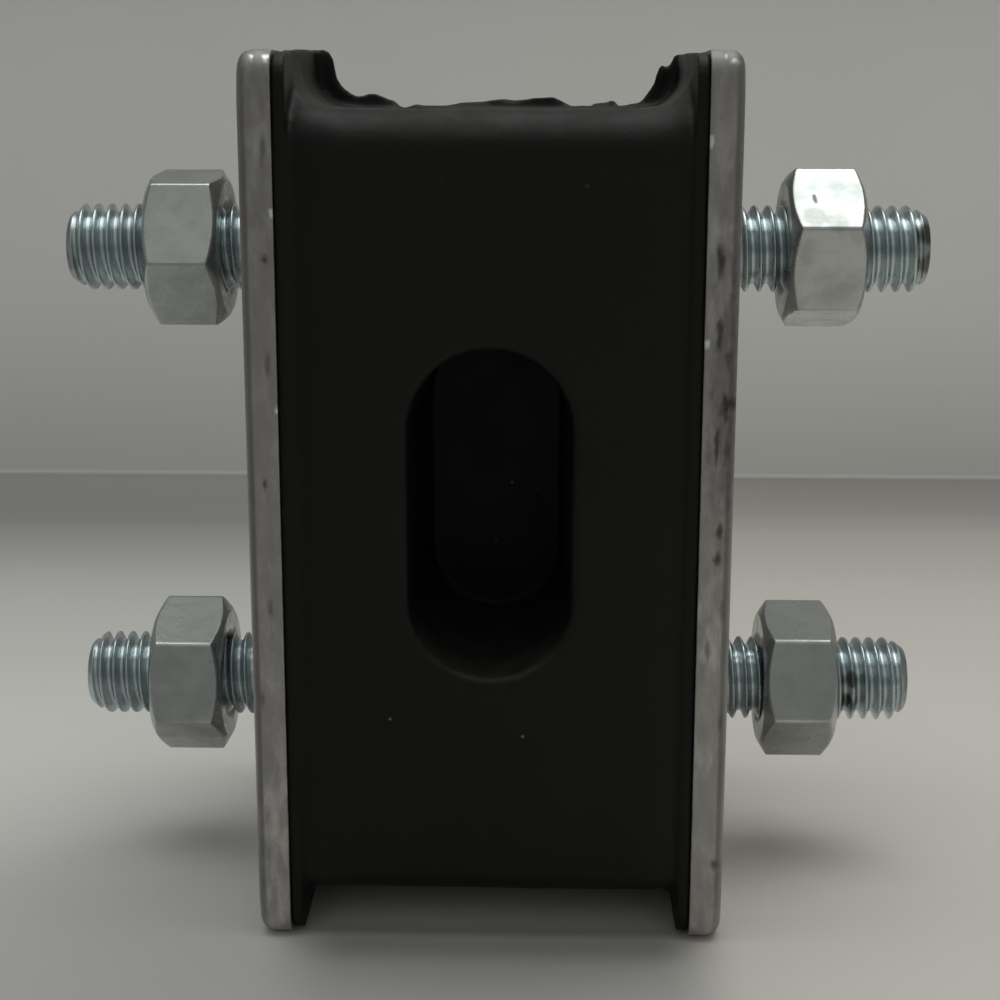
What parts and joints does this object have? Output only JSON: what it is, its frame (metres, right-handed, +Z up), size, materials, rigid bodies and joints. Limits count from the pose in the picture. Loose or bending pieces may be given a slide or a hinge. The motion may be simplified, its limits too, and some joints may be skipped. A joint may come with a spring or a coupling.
{
  "type": "exhaust rubber mount",
  "caption": "Exhaust rubber mount: a moulded rubber block bonded between steel plates, with threaded studs and hexagon nuts standing out of each plate.",
  "frame": {"origin": "centre of the bounding box's underside, on the surface that the plates' lower edges stand on", "axes": "+X runs from the left plate to the right plate along the studs, +Y from the front to the back, +Z up along the plates"},
  "size_m": [0.078, 0.044, 0.075],
  "materials": {
    "rubber": "satin",
    "plate": "satin",
    "stud": "satin",
    "nut": "satin"
  },
  "bodies": {
    "root": {"rubber_block": "rubber", "left_plate": "plate", "right_plate": "plate", "upper_left_stud": "stud", "lower_left_stud": "stud", "upper_right_stud": "stud", "lower_right_stud": "stud", "upper_left_nut": "nut", "lower_left_nut": "nut", "upper_right_nut": "nut", "lower_right_nut": "nut"}
  },
  "joints": []
}
